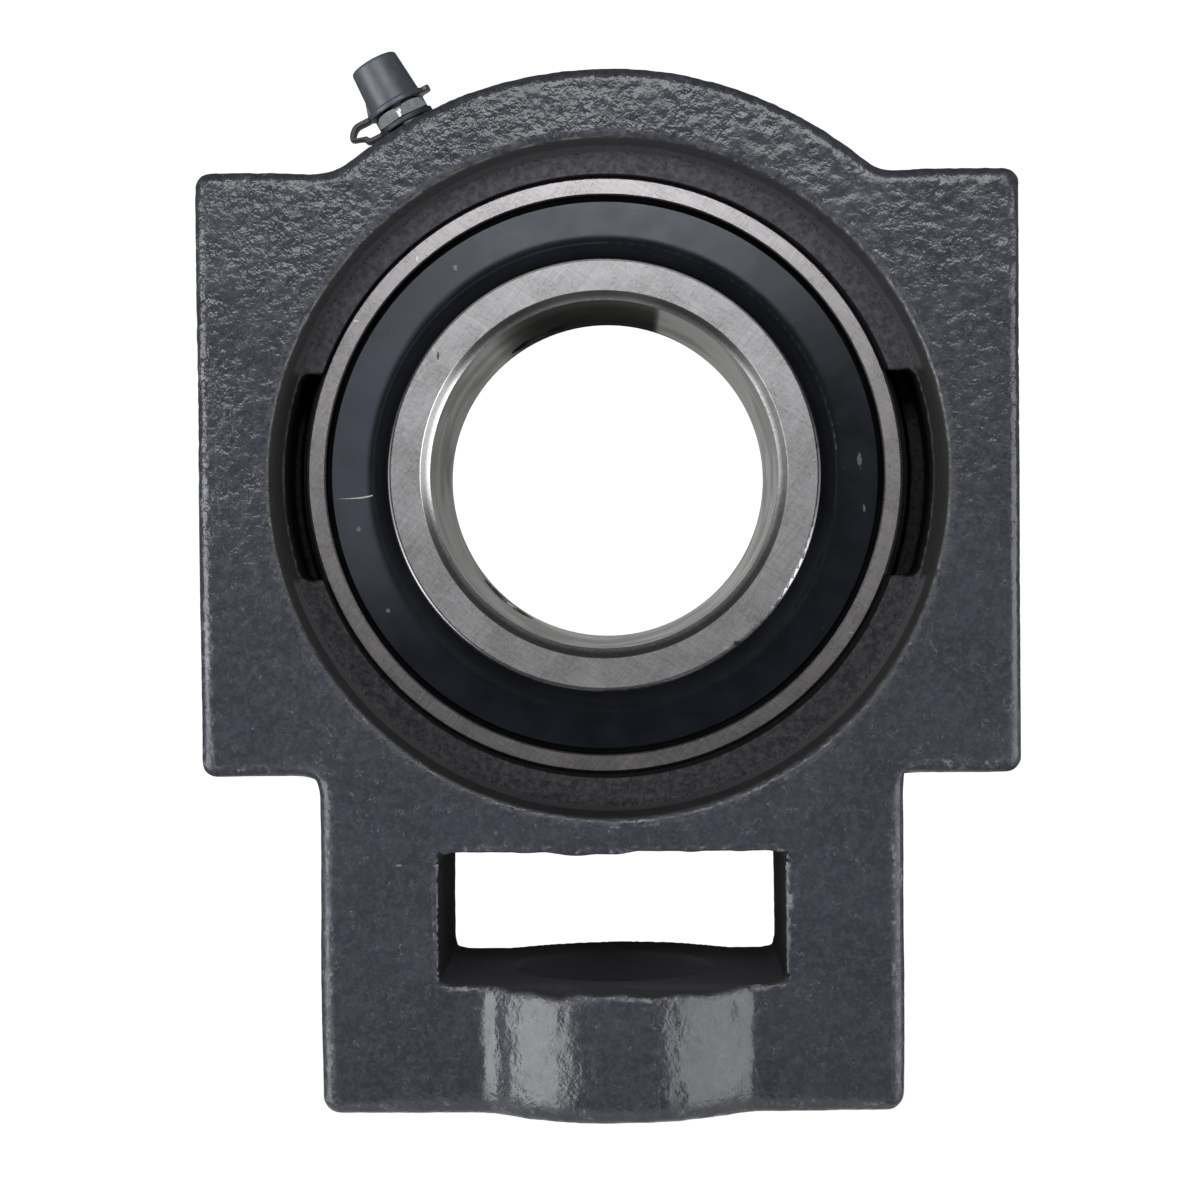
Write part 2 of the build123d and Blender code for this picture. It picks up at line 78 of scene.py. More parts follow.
# Places in metres: on the casting from the shaft axis, on the nipple along its own axis
FACE_DEPTH = 0.0185
SEAT_RADIUS = 0.0452
GROOVE_HALF, GROOVE_FLOOR = 0.00815, 0.0509
RECESS_X, RECESS_Z, RECESS_RADIUS, RECESS_FOOT = 0.0006, -0.0006, 0.0490, 0.0474
NOTCH_HALF = 0.0152
SLOT_FLOOR, SLOT_ROOF, SLOT_HALF = -0.0736, -0.0541, 0.0251
HOLE_RADIUS, HOLE_TOP = 0.0147, -0.0700
NECK_X, NECK_Z, NECK_FILLET = 0.0427, -0.0432, 0.0030
HEXAGON_FOOT, HEXAGON_TOP, CAP_FOOT, STRAP_LIFT = 0.0605, 0.0631, 0.0633, 0.0008
grease_point = next(m for m in frame["record"]["mounts"] if m["name"] == "grease_point")
NIPPLE_OUT = Vector(grease_point["axis"]).normalized()
NIPPLE_SIDE = Vector((NIPPLE_OUT.z, 0, -NIPPLE_OUT.x))

BLACK = (0.0, 0.0, 0.0)
WORN_RIM = (0.13, 0.12, 0.095)
PALE_DUST = (0.20, 0.21, 0.23)
DARK_NICK, PALE_NICK = (0.06, 0.055, 0.05), (0.95, 0.95, 0.93)

# Marks seen on the real unit: place, size, stretch (and colour on steel)
SKIN_MARKS = (
    ((-0.0432, -0.0185, 0.0150), 0.0003, (0.8, 3, 1.2)),
    ((-0.0300, -0.0185, -0.0560), 0.0003, (1.6, 3, 0.8)),
)
RING_MARKS = (
    ((-0.0242, -0.0190, 0.0181), 0.00035, (1, 3, 1), PALE_NICK),
    ((-0.0236, -0.0190, 0.0172), 0.00040, (0.5, 3, 1.8), DARK_NICK),
    ((-0.0174, -0.0188, 0.0197), 0.00045, (1, 3, 1), PALE_NICK),
    ((0.0188, -0.0190, -0.0243), 0.00045, (1.4, 3, 0.8), DARK_NICK),
    ((0.0176, -0.0190, -0.0250), 0.00045, (1.8, 3, 0.7), PALE_NICK),
    ((0.0305, -0.0190, 0.0038), 0.00035, (0.6, 3, 1.6), DARK_NICK),
)
OUTER_MARKS = (
    ((-0.0360, -0.0120, 0.0228), 0.0003, (1.8, 3, 0.6), PALE_NICK),
    ((-0.0270, -0.0120, 0.0318), 0.0003, (0.5, 3, 1.8), PALE_NICK),
    ((0.0358, -0.0120, -0.0232), 0.0003, (1.2, 3, 0.6), PALE_NICK),
)
FLINGER_MARKS = (
    ((0.0372, -0.0115, 0.0020), 0.0006, (0.6, 3, 2.4)),
    ((0.0378, -0.0115, -0.0050), 0.0004, (0.6, 3, 1.6)),
    ((-0.0360, -0.0115, -0.0075), 0.00035, (1, 3, 1)),
    ((-0.0318, -0.0115, -0.0195), 0.00035, (1, 3, 1)),
    ((-0.0215, -0.0115, 0.0305), 0.0004, (1, 3, 1)),
)


# ---------------------------------------------------------------- settings


class CastingSettings(bpy.types.PropertyGroup):
    """Sizes and colours of the cast housing."""

    grid: bpy.props.FloatProperty(
        name="Skin grid", description="Spacing of the mesh that carries the cast skin",
        default=0.00048, unit="LENGTH"
    )
    triangles: bpy.props.IntProperty(
        name="Triangles", description="Triangles that the finished casting keeps", default=190000
    )
    lump_size: bpy.props.FloatProperty(
        name="Lump size", description="Width of the small lumps of the cast skin", default=0.0014, unit="LENGTH"
    )
    lump_height: bpy.props.FloatProperty(
        name="Lump height", description="Height of the lumps in the upper part", default=0.00010, unit="LENGTH"
    )
    wave_height: bpy.props.FloatProperty(
        name="Wave height", description="Height of the long waves of the cast outline",
        default=0.00016, unit="LENGTH"
    )
    paint: bpy.props.FloatVectorProperty(
        name="Paint", description="Dark grey paint", default=(0.0295, 0.0320, 0.0405), subtype="COLOR", size=3
    )
    chip: bpy.props.FloatVectorProperty(
        name="Chips", description="Pale dust and chips on the edges",
        default=(0.155, 0.170, 0.180), subtype="COLOR", size=3
    )
    sand: bpy.props.FloatVectorProperty(
        name="Recess skin", description="Dry skin of the recesses and the slot",
        default=(0.0193, 0.0190, 0.0215), subtype="COLOR", size=3
    )


class InsertSettings(bpy.types.PropertyGroup):
    """Finishes of the bearing insert."""

    outer_steel: bpy.props.FloatVectorProperty(
        name="Outer ring", description="Ground steel of the outer ring",
        default=(0.50, 0.478, 0.495), subtype="COLOR", size=3
    )
    inner_steel: bpy.props.FloatVectorProperty(
        name="Inner ring", description="Ground steel of the inner ring",
        default=(0.69, 0.68, 0.70), subtype="COLOR", size=3
    )
    bore_steel: bpy.props.FloatVectorProperty(
        name="Bore", description="Oiled steel of the bore", default=(0.30, 0.292, 0.27), subtype="COLOR", size=3
    )
    black: bpy.props.FloatVectorProperty(
        name="Flinger", description="Blackened steel of the flingers",
        default=(0.002, 0.0028, 0.0048), subtype="COLOR", size=3
    )
    grain_width: bpy.props.FloatProperty(
        name="Grain width", description="Width of the grinding marks", default=0.0003, unit="LENGTH"
    )


class NippleSettings(bpy.types.PropertyGroup):
    """Finishes of the grease nipple, its cap and strap."""

    zinc: bpy.props.FloatVectorProperty(
        name="Plating", description="Dull plating of the nipple",
        default=(0.56, 0.59, 0.60), subtype="COLOR", size=3
    )
    plastic: bpy.props.FloatVectorProperty(
        name="Cap plastic", description="Grey plastic of the cap",
        default=(0.066, 0.074, 0.090), subtype="COLOR", size=3
    )


class StageSettings(bpy.types.PropertyGroup):
    """Camera, lamps and floor."""

    lens: bpy.props.FloatProperty(name="Lens", description="Focal length of the camera in mm", default=83.1)
    world: bpy.props.FloatProperty(
        name="Surroundings", description="Level of the grey surroundings", default=0.10
    )
    top_lamp: bpy.props.FloatProperty(name="Top lamp", description="Power of the upper softbox", default=1.48)
    left_lamp: bpy.props.FloatProperty(name="Left lamp", description="Power of the left softbox", default=4.15)
    right_lamp: bpy.props.FloatProperty(
        name="Right lamp", description="Power of the right softbox", default=3.25
    )


# ---------------------------------------------------------------- materials


def shade(colour, factor):
    """The colour made darker or lighter by the factor."""
    return tuple(min(1, channel * factor) for channel in colour)


class Finish:
    """One procedural material, built socket by socket on object coordinates."""

    def __init__(self, name):
        self.material = bpy.data.materials.new(name)
        self.material.use_nodes = True
        self.tree = self.material.node_tree
        self.tree.nodes.clear()
        self.shader = self.node("BsdfPrincipled")
        self.node("OutputMaterial", {"Surface": self.shader.outputs["BSDF"]})
        self.place = self.node("TexCoord").outputs["Object"]

    def put(self, socket, value):
        """Links the value to the socket, or sets it there if it is a plain one."""
        if isinstance(value, bpy.types.NodeSocket):
            self.tree.links.new(value, socket)
        elif socket.type == "RGBA" and len(value) == 3:
            socket.default_value = (*value, 1)
        else:
            socket.default_value = value

    def node(self, kind, values=(), **settings):
        """A new node with its settings, and with values at its inputs, in order or by their keys."""
        node = self.tree.nodes.new("ShaderNode" + kind)
        for name, setting in settings.items():
            setattr(node, name, setting)
        for key, value in values.items() if isinstance(values, dict) else enumerate(values):
            self.put(node.inputs[key], value)
        return node

    def surface(self, **values):
        """Sets or links inputs of the shader by their names."""
        for name, value in values.items():
            self.put(self.shader.inputs[name.replace("_", " ")], value)

    def math(self, operation, *values, clamp=False):
        """One step of arithmetic."""
        return self.node("Math", values, operation=operation, use_clamp=clamp).outputs[0]

    def times(self, first, *others):
        """The product of all the values."""
        for value in others:
            first = self.math("MULTIPLY", first, value)
        return first

    def vector_math(self, operation, *values):
        """One step of arithmetic on vectors."""
        node = self.node("VectorMath", values, operation=operation)
        return node.outputs["Value" if operation == "LENGTH" else "Vector"]

    def split(self):
        """The three object coordinates."""
        return self.node("SeparateXYZ", (self.place,)).outputs

    def join(self, x, y, z):
        """The vector of three values."""
        return self.node("CombineXYZ", (x, y, z)).outputs[0]

    def stored(self, name):
        """A value stored on the points of the mesh."""
        return self.node("Attribute", attribute_name=name).outputs["Fac"]

    def grain(self, size, detail=2.0, roughness=0.5, at=None, distortion=0.0):
        """Noise whose features are about size wide, from 0 to 1."""
        values = {"Detail": detail, "Roughness": roughness, "Distortion": distortion}
        return self.node("TexNoise", {"Vector": at or self.place, "Scale": 1 / size, **values}).outputs["Fac"]

    def span(self, value, low, high, to_low=0.0, to_high=1.0):
        """Brings value from the span low..high to the span to_low..to_high, smoothly and clamped."""
        values = {"Value": value, "From Min": low, "From Max": high, "To Min": to_low, "To Max": to_high}
        return self.node("MapRange", values, interpolation_type="SMOOTHSTEP").outputs["Result"]

    def blend(self, amount, first, second):
        """The first colour where amount is 0, the second where it is 1."""
        return self.node("Mix", {0: amount, 6: first, 7: second}, data_type="RGBA").outputs[2]

    def distance(self, centre_x=0.0, centre_z=0.0):
        """Distance from the axis along Y through the given centre, the shaft axis if none is given."""
        x, _, z = self.split()
        offsets = [self.math("SUBTRACT", x, centre_x), self.math("SUBTRACT", z, centre_z)]
        return self.math("SQRT", self.math("ADD", *[self.math("POWER", offset, 2.0) for offset in offsets]))

    def veins(self, noise_value, wide, thin):
        """Wandering lines where a noise passes its middle value."""
        return self.span(self.math("ABSOLUTE", self.math("SUBTRACT", noise_value, 0.5)), wide, thin)

    def band(self, value, low, high, soft=0.0002):
        """1 between low and high, with soft ends."""
        rising = self.span(value, low - soft, low + soft)
        return self.times(rising, self.span(value, high + soft, high - soft))

    def spot(self, centre, size, stretch=(1, 1, 1), ragged=0.5):
        """A small ragged mark at one place."""
        offset = self.vector_math("SUBTRACT", self.place, centre)
        length = self.vector_math("LENGTH", self.vector_math("MULTIPLY", offset, [1 / n for n in stretch]))
        edge = self.times(self.math("SUBTRACT", self.grain(size * 0.8, detail=3), 0.5), size * ragged * 2)
        return self.span(self.math("ADD", length, edge), size, size * 0.6)

    def bump(self, height, depth, strength=1.0, after=None):
        """Relief of the given depth in metres, on top of another one if there is one."""
        values = {"Height": height, "Distance": depth, "Strength": strength}
        if after is not None:
            values["Normal"] = after
        return self.node("Bump", values).outputs["Normal"]


def cast_paint(s):
    """Dark paint on the cast skin, with painted highlights on the wrinkle crests, painted shade in the creases,
    dust, chips and worn edges, painted shade on the lower lip, and the painted light and shade of the recess
    wall.
    """
    f = Finish("cast_paint")
    cast, edge = f.stored("cast"), f.stored("edge")
    x, y, z = f.split()
    upper = f.span(z, -0.045, 0.020)
    from_recess = f.distance(RECESS_X, RECESS_Z)
    lip = f.band(from_recess, 0.0478, 0.0500)
    inside = f.span(from_recess, RECESS_RADIUS, RECESS_RADIUS - 0.0003)
    inside = f.times(inside, f.math("LESS_THAN", f.math("ABSOLUTE", y), FACE_DEPTH - 0.0003))

    # The paint, with painted highlights on the crests and painted shade in the creases, and the relief of the
    # sand mould
    cloud = f.grain(0.011, detail=4)
    colour = f.blend(f.span(cloud, 0.35, 0.65), shade(s.paint, 0.92), shade(s.paint, 1.10))
    wrinkles = f.grain(0.0013, detail=2.4, roughness=0.62, distortion=0.25)
    # Painted highlight: the crests of the wrinkles painted paler, as where the lumps catch the lamps
    crest = f.times(f.span(wrinkles, 0.46, 0.58), f.span(upper, 0, 1, 0.55, 0.6))
    colour = f.blend(crest, colour, shade(s.paint, 1.5))
    # Painted shade: dark veins standing for the shaded creases of the skin, more of them in the upper part
    furrow_shade = f.veins(f.grain(0.0019, detail=4, roughness=0.6, distortion=0.9), 0.035, 0.006)
    colour = f.blend(f.times(furrow_shade, f.span(upper, 0, 1, 0.15, 0.6)), colour, shade(s.paint, 0.45))
    tick = f.veins(f.grain(0.0016, detail=2, distortion=1.4), 0.013, 0.004)
    tick = f.times(tick, f.span(f.grain(0.0019, detail=2), 0.54, 0.64))
    colour = f.blend(f.times(tick, 0.62), colour, s.chip)
    mottle = f.span(f.grain(0.0006, detail=3, roughness=0.65, distortion=0.6), 0.50, 0.64)
    colour = f.blend(f.times(mottle, f.span(upper, 0, 1, 0.34, 0.1)), colour, shade(s.paint, 2.1))

    # Dust, and paint rubbed off the edges
    flecks = f.grain(0.0005, detail=4, roughness=0.7, distortion=1.2)
    dust = f.times(f.span(flecks, 0.64, 0.70), f.span(f.grain(0.009, detail=2), 0.48, 0.64))
    dust = f.times(dust, f.span(z, 0.005, -0.03, 0.35, 1.0))
    colour = f.blend(f.times(dust, 0.5), colour, s.chip)
    rubbed = f.grain(0.0011, detail=5, roughness=0.75)
    worn = f.span(f.math("ADD", rubbed, f.times(f.grain(0.006, detail=2), 0.6)), 0.88, 0.95)
    handled = f.math("MAXIMUM", f.span(x, -0.018, -0.034), f.span(z, -0.015, -0.040))
    worn = f.times(f.span(edge, 0.25, 0.65), f.times(worn, f.span(handled, 0, 1, 0.12, 0.9)))
    colour = f.blend(f.times(worn, f.span(lip, 0, 1, 0.85, 0.22)), colour, s.chip)
    rim = f.times(f.band(from_recess, 0.04865, 0.04905, 0.00008), f.span(f.grain(0.003, detail=4), 0.42, 0.56))
    rim = f.times(rim, f.times(f.span(x, 0.010, -0.010), f.span(z, -0.030, -0.010)))
    colour = f.blend(f.times(rim, 0.6), colour, WORN_RIM)
    for centre, size, stretch in SKIN_MARKS:
        colour = f.blend(f.times(f.spot(centre, size, stretch), 0.75), colour, s.chip)

    # Painted shade: the lip of the recess darkened, most towards the bottom
    colour = f.blend(f.times(lip, f.span(z, 0.030, 0.0), 0.45), colour, shade(s.paint, 0.5))
    # The wall of the recess, with its painted light and shade
    colour = f.blend(inside, colour, recess_wall(f, s.sand, from_recess, z))

    gloss = f.span(f.grain(0.0025, detail=3), 0.3, 0.7, 0.19, 0.29)
    low_edge = f.times(f.span(edge, 0.15, 0.6), f.span(z, -0.020, -0.045))
    dull = f.times(f.math("MAXIMUM", low_edge, lip), f.span(rubbed, 0.42, 0.58, 0.05, 0.34))
    dull = f.math("MAXIMUM", dull, f.times(inside, 0.5))
    fine = f.bump(f.grain(0.0005, detail=2, roughness=0.5), 0.00004, f.times(cast, 0.5))
    rough = f.times(f.span(upper, 0, 1, 0.52, 1.0), f.span(x, 0.050, -0.015, 0.55, 1.0))
    rough = f.times(rough, f.span(f.grain(0.007, detail=2), 0.36, 0.58, 0.55, 1.0))
    lumps = f.bump(wrinkles, 0.00034, f.times(cast, rough), after=fine)
    f.surface(Base_Color=colour, Roughness=f.math("ADD", gloss, dull), Specular_IOR_Level=0.5, Normal=lumps)
    return f.material


def recess_wall(f, sand, from_recess, z):
    """Colour of the wall round the bearing, in painted light and shade: darker below, paler on top and at its
    foot, black at the notches.
    """
    # Painted shade towards the bottom, painted light towards the top
    wall = f.blend(f.span(z, -0.010, 0.045), shade(sand, 0.20), shade(sand, 0.95))
    # Painted shade: black where the wall runs into the notches
    at_notch = f.span(f.math("ABSOLUTE", z), NOTCH_HALF + 0.0006, NOTCH_HALF - 0.0007)
    at_notch = f.times(at_notch, f.span(from_recess, 0.0486, 0.0480))
    wall = f.blend(at_notch, wall, (0.0006, 0.0006, 0.0006))
    # The foot of the wall paler, painted lighter again towards the top
    foot = f.times(f.span(from_recess, 0.0481, 0.0479), f.math("SUBTRACT", 1.0, at_notch))
    return f.blend(foot, wall, f.blend(f.span(z, -0.040, 0.040), shade(sand, 1.5), shade(sand, 2.0)))


def recess_skin(s):
    """Dry sand-cast skin of the slot, the screw hole, the notches and the ledges beside the bearing, with
    painted light on the slot floor, painted shade in the notches, and painted light and shade with a painted
    shadow line on the ledges.
    """
    f = Finish("recess_skin")
    z = f.split()["Z"]
    sand = f.grain(0.0011, detail=5, roughness=0.85)
    colour = f.blend(f.span(sand, 0.35, 0.62), shade(s.sand, 0.45), s.sand)
    # Painted light: paler on the floor of the slot and down the screw hole, where the up-facing skin is lit
    colour = f.blend(f.span(z, SLOT_FLOOR + 0.0014, SLOT_FLOOR - 0.0002), colour, shade(s.sand, 2.8))
    # Painted shade: the notches, and the dry skin above the slot, made near black
    colour = f.blend(f.times(f.span(z, -0.030, -0.020), 0.75), colour, (0.001, 0.001, 0.001))

    # Painted light and shade on the ledges: paler towards the top, with a painted shadow line black along the
    # ring
    patches = f.span(sand, 0.36, 0.66)
    low = f.blend(patches, shade(s.sand, 0.9), shade(s.sand, 2.6))
    high = f.blend(patches, shade(s.sand, 1.9), shade(s.sand, 4.2))
    gap_shadow = f.times(f.span(f.distance(0.0002, -0.0002), 0.0440, 0.0438), 0.93)
    ledge = f.blend(gap_shadow, f.blend(f.span(z, -0.040, 0.040), low, high), BLACK)
    colour = f.blend(f.stored("ledge"), colour, ledge)
    glint = f.spot((-0.0450, -0.0125, 0.0021), 0.0007, (1, 6, 1))
    colour = f.blend(glint, colour, (0.45, 0.43, 0.36))
    f.surface(Base_Color=colour, Roughness=0.92, Specular_IOR_Level=0.12, Normal=f.bump(sand, 0.0005, 0.7))
    return f.material


def ground_steel(name, steel, marks, grain_width, edges=(), shaded_bottom_tone=1.0, bore_steel=None):
    """Ground ring steel: an even fine mottle, thin crossing scratches, a few nicks, painted shade on the edges
    given and painted shade towards the bottom where asked.
    """
    f = Finish(name)
    x, y, z = f.split()
    radius = f.distance()
    mottle = f.times(f.grain(0.00045, detail=3, roughness=0.7), 0.6)
    tone = f.math("ADD", mottle, f.times(f.grain(0.006, detail=3), 0.4))
    colour = f.blend(f.span(tone, 0.38, 0.62), shade(steel, 0.93), shade(steel, 1.04))
    # Painted shade: the steel made darker towards the bottom
    colour = f.blend(f.span(z, -0.012, -0.036, 0.0, 1 - shaded_bottom_tone), colour, BLACK)
    scratches = []
    for tilt, seed in ((0.9, 0.0), (-0.55, 0.3)):
        along = f.math("ADD", f.times(x, math.cos(tilt)), f.times(z, math.sin(tilt)))
        across = f.math("SUBTRACT", f.times(z, math.cos(tilt)), f.times(x, math.sin(tilt)))
        at = f.join(f.times(along, 0.045), f.math("ADD", across, seed), f.times(y, 0.2))
        scratches.append(f.grain(grain_width, detail=2, roughness=0.6, at=at))
    fine, deep = f.math("MAXIMUM", *scratches), f.math("MINIMUM", *scratches)
    colour = f.blend(f.times(f.span(fine, 0.54, 0.68), 0.34), colour, shade(steel, 1.35))
    colour = f.blend(f.times(f.span(deep, 0.46, 0.32), 0.30), colour, shade(steel, 0.6))
    # Painted shade: dark bands on the edges given, where the chamfer and the space by the seal lie in shade
    for low, high, amount in edges:
        colour = f.blend(f.times(f.band(radius, low, high, 0.00005), amount), colour, (0.03, 0.029, 0.028))
    for centre, size, stretch, mark in marks:
        colour = f.blend(f.times(f.spot(centre, size, stretch), 0.8), colour, mark)
    gloss = f.span(tone, 0.35, 0.65, 0.27, 0.31)
    if bore_steel is not None:
        colour, gloss = add_bore(f, colour, gloss, radius, bore_steel)
    f.surface(Base_Color=colour, Metallic=1.0, Roughness=gloss, Normal=f.bump(fine, 0.000004, 0.5))
    return f.material


def add_bore(f, colour, gloss, radius, steel):
    """Adds painted shade on the top of the face, on its rim and on the chamfer, a painted highlight line, and
    the oiled, turned bore with painted shade at its top, to the steel of the inner ring.
    """
    x, y, z = f.split()
    # Painted shade: the face of the inner ring darker towards the top
    colour = f.blend(f.span(z, 0.010, 0.028, 0.0, 0.17), colour, BLACK)
    # Painted shade: a dark line on the outer rim of the face, less of it at the lower right where it is lit
    lit = f.times(f.span(z, -0.004, -0.016), f.span(x, -0.014, 0.012, 0.20, 0.50))
    rim = f.times(f.band(radius, 0.03056, 0.0330, 0.00005), f.math("SUBTRACT", 0.93, lit))
    colour = f.blend(rim, colour, (0.02, 0.02, 0.02))
    # Painted shade on the chamfer of the bore
    chamfer = f.times(f.span(radius, 0.02640, 0.02625), f.span(radius, 0.02505, 0.02580, 0.0, 0.75))
    colour = f.blend(chamfer, colour, (0.09, 0.088, 0.08))
    # Painted highlight: a thin pale line at the edge of the chamfer
    chamfer_highlight = f.times(f.band(radius, 0.02632, 0.02644, 0.00004), 0.5)
    colour = f.blend(chamfer_highlight, colour, (0.9, 0.9, 0.88))

    turned = f.grain(0.0006, detail=3, at=f.join(f.times(x, 0.06), y, f.times(z, 0.06)))
    oily = f.grain(0.014, detail=2)
    wall = f.blend(f.span(turned, 0.3, 0.7), shade(steel, 0.85), shade(steel, 1.12))
    wall = f.blend(f.times(f.span(oily, 0.4, 0.6), 0.35), wall, shade(steel, 0.7))
    # Painted shade: the top of the bore darkened, together with the real oil patches
    top = f.times(f.span(z, 0.0185, 0.0232), f.span(x, 0.0085, 0.0072))
    dark = f.math("ADD", top, f.times(f.span(oily, 0.42, 0.60), 0.12))
    wall = f.blend(f.math("MULTIPLY", dark, 0.75, clamp=True), wall, shade(steel, 0.16))
    bore = f.span(radius, 0.02508, 0.02502)
    across = f.span(f.math("SUBTRACT", x, z), -0.016, 0.026, 0.05, -0.02)
    dull = f.math("ADD", across, f.math("MULTIPLY", dark, 0.4, clamp=True))
    f.surface(Specular_Tint=(0.45, 0.45, 0.44))
    return f.blend(bore, colour, wall), f.math("ADD", gloss, f.times(bore, dull))


def blackened_steel(s):
    """Satin black of the flingers, with dust, nicks, the scratch and painted light on a paler stretch at the
    upper left.
    """
    f = Finish("blackened_steel")
    x, y, z = f.split()
    radius = f.distance()
    cloud = f.grain(0.006, detail=4, roughness=0.6)
    colour = f.blend(f.span(cloud, 0.3, 0.7), shade(s.black, 0.75), shade(s.black, 1.5))
    dust = f.span(f.grain(0.00045, detail=3, roughness=0.7), 0.69, 0.75)
    dust = f.times(dust, f.span(f.grain(0.012), 0.42, 0.6))
    colour = f.blend(f.times(dust, 0.35), colour, PALE_DUST)
    # Painted light: a paler stretch at the upper left of the flingers, where the lamp from the upper left falls
    paler = f.span(f.math("SUBTRACT", f.times(z, 0.4), x), 0.0, 0.034)
    paler = f.times(paler, f.times(f.span(radius, 0.0340, 0.0350), f.span(z, 0.034, 0.014)))
    paler = f.times(paler, f.span(z, -0.030, -0.004))
    colour = f.blend(paler, colour, (0.040, 0.044, 0.056))
    colour = f.blend(long_scratch(f, x, y, z), colour, (0.50, 0.485, 0.47))
    for centre, size, stretch in FLINGER_MARKS:
        colour = f.blend(f.times(f.spot(centre, size, stretch, 1.0), 0.5), colour, PALE_DUST)
    beside_hub = f.times(f.span(radius, 0.0343, 0.0330), 0.25)
    gloss = f.math("ADD", f.span(f.grain(0.004, detail=4), 0.3, 0.7, 0.27, 0.33), beside_hub)
    f.surface(Base_Color=colour, Roughness=gloss, Specular_IOR_Level=0.37, Specular_Tint=(0.84, 0.90, 1.0))
    f.surface(Normal=f.bump(f.grain(0.0009, detail=3), 0.00002, 0.35))
    return f.material


def long_scratch(f, x, y, z):
    """The bowed bright scratch at the left of the front flinger."""
    start, end = -0.0388, -0.0345
    along = f.math("MAXIMUM", f.math("SUBTRACT", x, start), 0.0)
    bow = f.times(f.math("POWER", along, 3.0), 3800.0)
    height = f.math("ABSOLUTE", f.math("ADD", f.math("SUBTRACT", z, bow), 0.00305))
    line = f.span(height, f.span(x, start, end, 0.00007, 0.00016), 0.00002)
    ends = f.times(f.math("GREATER_THAN", x, start - 0.0003), f.math("LESS_THAN", x, end + 0.0006))
    line = f.times(line, ends, f.span(x, start - 0.0004, start + 0.0026, 0.25, 1.0))
    line = f.times(line, f.span(f.grain(0.0003, detail=2), 0.3, 0.55, 0.55, 1.0))
    return f.times(line, f.math("LESS_THAN", y, 0.0))


def plain_metal(name, colour, roughness, mark_size, depth):
    """An evenly marked metal."""
    f = Finish(name)
    tone = f.grain(mark_size, detail=4, roughness=0.6)
    mixed = f.blend(f.span(tone, 0.3, 0.7), shade(colour, 0.8), shade(colour, 1.15))
    dull = f.span(f.grain(mark_size * 3, detail=3), 0.3, 0.7, roughness * 0.85, roughness * 1.2)
    f.surface(Base_Color=mixed, Metallic=1.0, Roughness=dull, Normal=f.bump(tone, depth, 0.5))
    return f.material


def nipple_plating(s, corner):
    """Dull plating, with painted shade on the flat to the left of the front corner."""
    f = Finish("nipple_plating")
    x, y, z = f.split()
    tone = f.grain(0.0009, detail=4, roughness=0.6)
    mixed = f.blend(f.span(tone, 0.3, 0.7), shade(s.zinc, 0.8), shade(s.zinc, 1.15))
    across = f.math("ADD", f.times(x, NIPPLE_SIDE.x), f.times(z, NIPPLE_SIDE.z))
    # Painted shade on the flat to the left of the front corner
    left_flat_shade = f.times(f.span(across, corner - 0.00025, corner - 0.00060), f.math("LESS_THAN", y, 0.002))
    mixed = f.blend(f.times(left_flat_shade, 0.88), mixed, (0.016, 0.017, 0.016))
    f.surface(Base_Color=mixed, Metallic=1.0, Roughness=0.42, Normal=f.bump(tone, 0.00003, 0.5))
    return f.material


def plain_polymer(name, colour, roughness, mark_size, depth, shine=0.5):
    """An evenly marked plastic or rubber."""
    f = Finish(name)
    tone = f.grain(mark_size, detail=4, roughness=0.6)
    mixed = f.blend(f.span(tone, 0.3, 0.7), shade(colour, 0.85), shade(colour, 1.15))
    dull = f.span(f.grain(mark_size * 4, detail=3), 0.3, 0.7, roughness * 0.85, roughness * 1.15)
    f.surface(Base_Color=mixed, Roughness=dull, Specular_IOR_Level=shine, Normal=f.bump(tone, depth, 0.6))
    return f.material


# ---------------------------------------------------------------- mesh helpers


def linked(name, data):
    """A new object in the scene."""
    new = bpy.data.objects.new(name, data)
    bpy.context.scene.collection.objects.link(new)
    return new


def written(name, bm, material):
    """A new object with the finished mesh and its material."""
    mesh = bpy.data.meshes.new(name)
    bm.to_mesh(mesh)
    bm.free()
    mesh.materials.append(material)
    return linked(name, mesh)


def place_piece(name, bm, material, body, stands_for=(), smooth=True):
    """Writes a finished mesh, gives it its material and lets it ride on its body."""
    bmesh.ops.remove_doubles(bm, verts=bm.verts, dist=1e-7)
    bmesh.ops.recalc_face_normals(bm, faces=bm.faces)
    piece = written(name, bm, material)
    if smooth:
        piece.data.shade_smooth()
        piece.data.set_sharp_from_angle(angle=math.radians(28))
    if body:
        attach(piece, body)
    if stands_for:
        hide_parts(*stands_for)
    return piece


def copied(node, weld=1e-6):
    """A bmesh copy of a packed node, with its loose triangles joined."""
    bm = bmesh.new()
    bm.from_mesh(NODES[node].data)
    bmesh.ops.remove_doubles(bm, verts=bm.verts, dist=weld)
    return bm


def wind_thread(bm, foot, out, side, root, crest, pitch, length):
    """Adds a thread ridge, one closed three-sided coil, round the axis that leaves foot along out."""
    turns = length / pitch
    steps = int(28 * turns)
    profile = ((root, -0.42 * pitch), (crest, 0.0), (root, 0.42 * pitch))
    corners = [bm.verts.new(foot + side * radius + out * height) for radius, height in profile]
    start = bm.faces.new(corners)
    bmesh.ops.spin(
        bm, geom=[start, *start.edges, *corners], cent=foot, axis=out, dvec=out * (length / steps),
        angle=2 * math.pi * turns, steps=steps, use_duplicate=False,
    )


